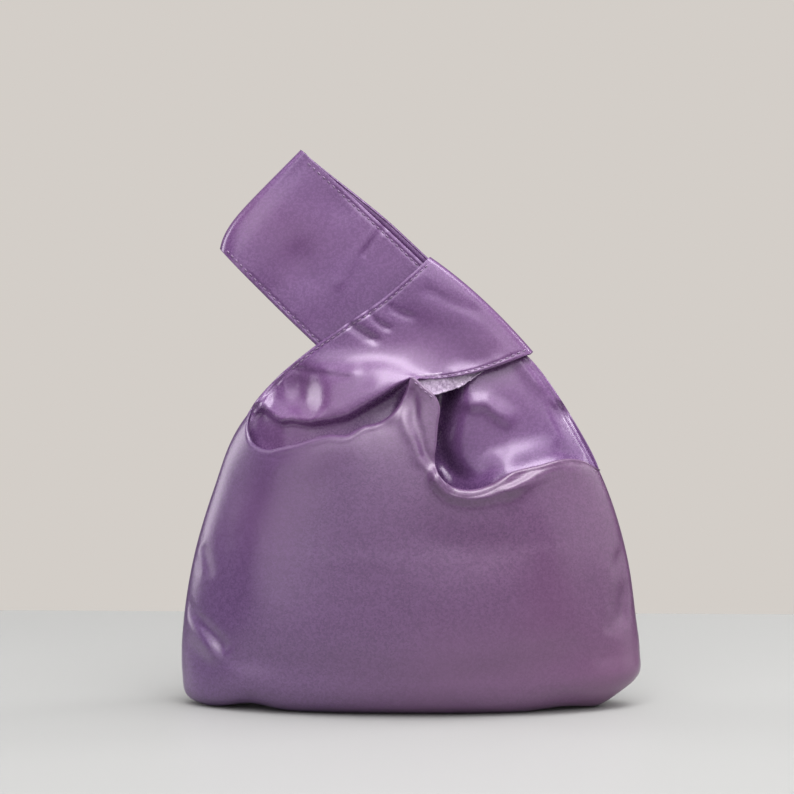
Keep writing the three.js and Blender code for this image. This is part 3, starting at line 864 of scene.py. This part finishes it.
def on_front(points):
    """A line on the front panel, through a run of points."""
    x, z = np.transpose([
        (np.interp(t, (0, 1), (a[0], b[0])), np.interp(t, (0, 1), (a[1], b[1])))
        for a, b in zip(points, points[1:])
        for t in np.linspace(0, 1, STEP_POINTS)
    ])
    return np.column_stack([x, -depth_at(x, z, FRONT_FOLDS) - MOUTH_RISE, z])


MOUTH_STITCHES = ((0.6, 158.2), (2.6, 156.8), (7, 153), (11.4, 149.4), (12.4, 147))
front_stitches = stitch_piece("front_panel_stitches", [on_front(MOUTH_STITCHES)])

# %% [markdown]
# ## Cloth thickness
#
# Satin, interlining and lining make a wall of about a millimetre. A second sheet could be shaped behind
# each one, but the Solidify modifier does just that: it thickens a sheet inwards, away from its outer
# face, so the outside stays where it was shaped.

# %% Give the sheets their thickness
thicknesses = (
    (front_panel, 1.0),
    (back_panel, 1.0),
    (short_loop, 1.4),
    (long_loop, 1.4),
    (mouth_facing, 0.6),
)
for piece, thickness in thicknesses:
    solidify = piece.modifiers.new("cloth thickness", "SOLIDIFY")
    solidify.thickness = thickness * MM
    solidify.offset = -1
    solidify.use_even_offset = False
    print(piece.name, thickness, "mm thick")

# %% [markdown]
# ## Satin
#
# Satin is smooth because its threads float over several others before they dip. Up close each float
# has its own shade, so the cloth has a fine, even grain. Here that is a random shade for each small
# Voronoi cell, mixed with the noise of thicker threads, and a little relief. All of it reads Object
# coordinates, and one node group serves all three shades.

# %% The shared satin weave
FLOATS = 1300  # in a metre
RELIEF = 1800  # bumps in a metre
SLUBS = 420  # thicker threads in a metre
SLUB_RELIEF = 0.3  # their share of the relief
SLUB_SHADE = 0.25  # and of the shade
PATCHES = 14  # in a metre


def node(tree, kind, **values):
    """A new node, with some of its settings."""
    made = tree.nodes.new(kind)
    for key, value in values.items():
        setattr(made, key, value)
    return made


def blend(tree, kind, a, b, factor, way="MIX"):
    """A mix of two values or colours. Each input is a plain value or another node's output."""
    made = node(tree, "ShaderNodeMix", data_type=kind, blend_type=way)
    for name, value in (("A", a), ("B", b), ("Factor", factor)):
        if isinstance(value, bpy.types.NodeSocket):
            tree.links.new(value, made.inputs[name])
        else:
            made.inputs[name].default_value = value
    return made.outputs["Result"]


weave = bpy.data.node_groups.new("satin_weave", "ShaderNodeTree")
weave.interface.new_socket("Vector", in_out="INPUT", socket_type="NodeSocketVector")
for output in ("Height", "Shade", "Patches"):
    weave.interface.new_socket(output, in_out="OUTPUT", socket_type="NodeSocketFloat")
weave_in = node(weave, "NodeGroupInput")
weave_out = node(weave, "NodeGroupOutput")


def weave_noise(scale, detail):
    """Noise of a given fineness, in the piece's own space."""
    texture = node(weave, "ShaderNodeTexNoise", noise_dimensions="3D")
    texture.inputs["Scale"].default_value = scale
    texture.inputs["Detail"].default_value = detail
    weave.links.new(weave_in.outputs["Vector"], texture.inputs["Vector"])
    return texture.outputs["Fac"]


def weave_floats(scale):
    """A random shade for each float of thread, in the piece's own space."""
    cells = node(weave, "ShaderNodeTexVoronoi", voronoi_dimensions="3D")
    cells.inputs["Scale"].default_value = scale
    weave.links.new(weave_in.outputs["Vector"], cells.inputs["Vector"])
    split = node(weave, "ShaderNodeSeparateColor")
    weave.links.new(cells.outputs["Color"], split.inputs["Color"])
    return split.outputs["Red"]


slubs = weave_noise(SLUBS, 2)
height = blend(weave, "FLOAT", weave_noise(RELIEF, 1), slubs, SLUB_RELIEF)
shade = blend(weave, "FLOAT", weave_floats(FLOATS), slubs, SLUB_SHADE)
weave.links.new(height, weave_out.inputs["Height"])
weave.links.new(shade, weave_out.inputs["Shade"])
weave.links.new(weave_noise(PATCHES, 1), weave_out.inputs["Patches"])
print("satin weave made,", len(weave.nodes), "nodes")

# %% [markdown]
# The colour of each float lies between a deep and a light tone, and large, soft patches blush a little.
# Over the pouch the hue drifts slowly from violet at the left to pink at the right: a painted sheen, fixed
# in place, for the shift of hue that satin with a warp and a weft of different hues shows with the angle.

# %% The satin's colour
PATCH_FROM = (0.45, 0.75)  # values of the noise between which a patch comes in
PATCH_MOST = 0.6
HUE_SPAN = 0.1  # metres to each side over which the hue drifts


def ranged(tree, value, start, stop):
    """A value, carried over from one range to another."""
    made = node(tree, "ShaderNodeMapRange")
    made.inputs["From Min"].default_value, made.inputs["From Max"].default_value = start
    made.inputs["To Min"].default_value, made.inputs["To Max"].default_value = stop
    tree.links.new(value, made.inputs["Value"])
    return made.outputs["Result"]


def satin_colour(tree, place, threads, deep, light, blush, drift):
    """Each float's shade, with patches that blush and, if asked for, a painted sheen drifting left to
    right.
    """
    shades = blend(tree, "RGBA", (*deep, 1), (*light, 1), threads.outputs["Shade"])
    patches = ranged(tree, threads.outputs["Patches"], PATCH_FROM, (0, PATCH_MOST))
    colour = blend(tree, "RGBA", shades, (*blush, 1), patches)
    if not drift:
        return colour
    # Painted sheen: a colour cast that shifts with x, from violet at the left to pink at the right.
    across = node(tree, "ShaderNodeSeparateXYZ")
    tree.links.new(place.outputs["Object"], across.inputs["Vector"])
    from_left = ranged(tree, across.outputs["X"], (-HUE_SPAN, HUE_SPAN), (0, 1))
    left, right = drift
    cast = blend(tree, "RGBA", (*left, 1), (*right, 1), from_left)
    return blend(tree, "RGBA", colour, cast, 1, "MULTIPLY")


print("the hue drifts over", 2 * HUE_SPAN, "m")

# %% [markdown]
# Each shade is a Principled shader with a strong, slightly tinted highlight. The highlight is stretched
# along the tangent of the UV map, which gives the long soft streaks of satin.

# %% Three shades of satin
BUMP_STRENGTH = 0.2
BUMP_DISTANCE = 0.0003
GLINT = 0.04  # how far the roughness strays from float to float
SATIN_SHINE = {
    "Specular IOR Level": 1,
    "Anisotropic": 0.45,
    "Anisotropic Rotation": 0.25,
    "Sheen Weight": 0.06,
    "Sheen Roughness": 0.35,
    "Sheen Tint": (0.75, 0.6, 0.85, 1),
}
# Painted sheen on the panels: their hue drifts from violet at the left to pink at the right.
PAINTED_SHEEN_VIOLET_TO_PINK = ((0.94, 0.97, 1.13), (1.08, 0.91, 0.93))


def satin(name, deep, light, blush, tint, roughness, drift=None):
    """A satin with floats from deep to light, patches that blush and a highlight of its own tint."""
    material = bpy.data.materials.new(name)
    material.use_nodes = True
    tree = material.node_tree
    shader = tree.nodes["Principled BSDF"]
    place = node(tree, "ShaderNodeTexCoord")
    threads = node(tree, "ShaderNodeGroup", node_tree=weave)
    tree.links.new(place.outputs["Object"], threads.inputs["Vector"])

    colour = satin_colour(tree, place, threads, deep, light, blush, drift)
    glint = ranged(tree, threads.outputs["Shade"], (0, 1), (roughness - GLINT, roughness + GLINT))
    bump = node(tree, "ShaderNodeBump")
    bump.inputs["Strength"].default_value = BUMP_STRENGTH
    bump.inputs["Distance"].default_value = BUMP_DISTANCE
    tree.links.new(threads.outputs["Height"], bump.inputs["Height"])
    along_u = node(tree, "ShaderNodeTangent", direction_type="UV_MAP", uv_map="UVMap")
    tree.links.new(colour, shader.inputs["Base Color"])
    tree.links.new(glint, shader.inputs["Roughness"])
    tree.links.new(bump.outputs["Normal"], shader.inputs["Normal"])
    tree.links.new(along_u.outputs["Tangent"], shader.inputs["Tangent"])
    shader.inputs["Specular Tint"].default_value = (*tint, 1)
    for socket, value in SATIN_SHINE.items():
        shader.inputs[socket].default_value = value
    print(name, len(tree.nodes), "nodes")
    return material


# The panels and the loops are one cloth. The panels' tones are painted darker and greyer than the loops':
# painted shade, with a painted grey sheen.
panel_satin = satin(
    "panel_satin", deep=(0.082, 0.037, 0.1), light=(0.145, 0.07, 0.17), blush=(0.142, 0.064, 0.15),
    tint=(1, 0.9, 1), roughness=0.31, drift=PAINTED_SHEEN_VIOLET_TO_PINK,
)
# The same cloth as the panels, painted in lighter tones: painted light on the loops.
loop_satin = satin(
    "loop_satin", deep=(0.124, 0.053, 0.166), light=(0.196, 0.092, 0.25), blush=(0.17, 0.07, 0.18),
    tint=(0.95, 0.84, 1), roughness=0.27,
)
# The facing's tones are painted far paler than the satin it is cut from: a painted highlight for the
# glints that its crinkles catch.
facing_satin = satin(
    "facing_satin", deep=(0.26, 0.17, 0.3), light=(0.74, 0.6, 0.8), blush=(0.42, 0.3, 0.47),
    tint=(1, 0.92, 1), roughness=0.24,
)

# %% Thread
def plain_finish(name, colour, roughness):
    """A material of one colour and one roughness."""
    material = bpy.data.materials.new(name)
    material.use_nodes = True
    shader = material.node_tree.nodes["Principled BSDF"]
    shader.inputs["Base Color"].default_value = (*colour, 1)
    shader.inputs["Roughness"].default_value = roughness
    print(name, "is plain")
    return material


thread = plain_finish("thread", (0.32, 0.21, 0.36), 0.45)

# %% [markdown]
# ## Dressing the bag
#
# Each piece gets its finish, rides on the bag's one body and takes the place of the plain wall that
# the imported model holds for it. Stitches take no wall's place: they are extra.

# %% Dress and seat each piece
pieces = (
    (front_panel, "front_panel", panel_satin, "panel_satin"),
    (back_panel, "back_panel", panel_satin, "panel_satin"),
    (short_loop, "short_loop", loop_satin, "loop_satin"),
    (long_loop, "long_loop", loop_satin, "loop_satin"),
    (mouth_facing, "mouth_facing", facing_satin, "facing_satin"),
)
for piece, cad_node, material, slot_name in pieces:
    piece.data.materials.append(material)
    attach(piece, "root")
    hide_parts(cad_node)
stitches = (
    (long_stitches, "loop_satin"),
    (short_stitches, "loop_satin"),
    (front_stitches, "panel_satin"),
)
for piece, slot_name in stitches:
    piece.data.materials.append(thread)
    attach(piece, "root")
print(len(pieces), "sheets and", len(stitches), "pieces of stitching dressed")

# %% [markdown]
# ## How each sheet is cut
#
# Every piece of cloth was flat once. Its width and length are the longest runs across and along its
# sheet. The panels are stretched over what fills the bag, and the loops and the facing are folded.

# %% [markdown]
# ## Floor and light
#
# A plain pale floor under a wide, even ceiling light. Satin shows its lights as long soft streaks, so
# where the others stand matters as much as how bright they are: a softbox overhead for the shoulder
# and the hollow, a tall light at the left and a small, bright one at the right for the seams, and a
# broad, weak one by the camera for the grey sheen in the middle. Weaker fills lift what stays dark.
# The world is bright where the camera sees it and dim as a light.

# %% Floor and world
FLOOR_REACH = 0.32  # metres from the floor's middle to its edges
WORLD_COLOUR = (0.86, 0.81, 0.76, 1)
WORLD_AS_LIGHT = 0.12
WORLD_AS_SEEN = 0.76

floor_bm = bmesh.new()
bmesh.ops.create_grid(floor_bm, x_segments=1, y_segments=1, size=FLOOR_REACH)
floor = as_piece("floor", floor_bm)
floor.data.materials.append(plain_finish("floor_paint", (0.4, 0.4, 0.395), 0.5))

world = bpy.data.worlds.new("studio")
world.use_nodes = True
sky = world.node_tree.nodes["Background"]
sky.inputs["Color"].default_value = WORLD_COLOUR
seen = node(world.node_tree, "ShaderNodeLightPath").outputs["Is Camera Ray"]
strength = ranged(world.node_tree, seen, (0, 1), (WORLD_AS_LIGHT, WORLD_AS_SEEN))
world.node_tree.links.new(strength, sky.inputs["Strength"])
bpy.context.scene.world = world
bpy.context.scene.view_settings.view_transform = "Standard"
print("floor", 2 * FLOOR_REACH, "m wide")

# %% Lights
LIGHTS = (  # name, place, aim, width and height in metres, and how bright the light's face is
    ("ceiling", (0, 0, 5), (0, 0, 0), (11, 11), 1.0),
    ("overhead", (0.25, -0.28, 1.2), (0, 0, 0.15), (1.5, 0.6), 6.5),
    ("left", (-1.16, 0.25, 0.5), (0, 0, 0.1), (0.55, 0.9), 4.3),
    ("front", (0, -1.9, 1.6), (0, 0, 0.12), (5.2, 1.2), 2.1),
    ("front fill", (-0.2, -2.2, 0.35), (0, 0, 0.12), (4.8, 0.8), 0.8),
    ("right", (1.0, 0.4, 0.75), (0, 0, 0.1), (0.35, 0.4), 10),
    ("right fill", (1.7, 0.1, 0.5), (0, 0, 0.1), (1.2, 1.2), 1.1),
    ("front right fill", (1.55, -0.75, 0.4), (0, 0, 0.1), (0.8, 0.7), 1.2),
    ("front left fill", (-1.7, -1.6, 0.4), (0, 0, 0.1), (0.9, 0.7), 1.2),
)


def soft_light(name, at, aim, size, glow):
    """An oval of even light. Its power follows from its size and how bright its face is."""
    data = bpy.data.lights.new(name, "AREA")
    data.shape = "ELLIPSE"
    data.size, data.size_y = size
    data.energy = glow * np.pi * size[0] * size[1] * np.pi / 4
    light = bpy.data.objects.new(name, data)
    bpy.context.collection.objects.link(light)
    light.location = at
    light.rotation_euler = (Vector(aim) - Vector(at)).to_track_quat("-Z", "Y").to_euler()
    light.visible_camera = False
    print(name, "light,", round(data.energy, 1), "W")


for row in LIGHTS:
    soft_light(*row)
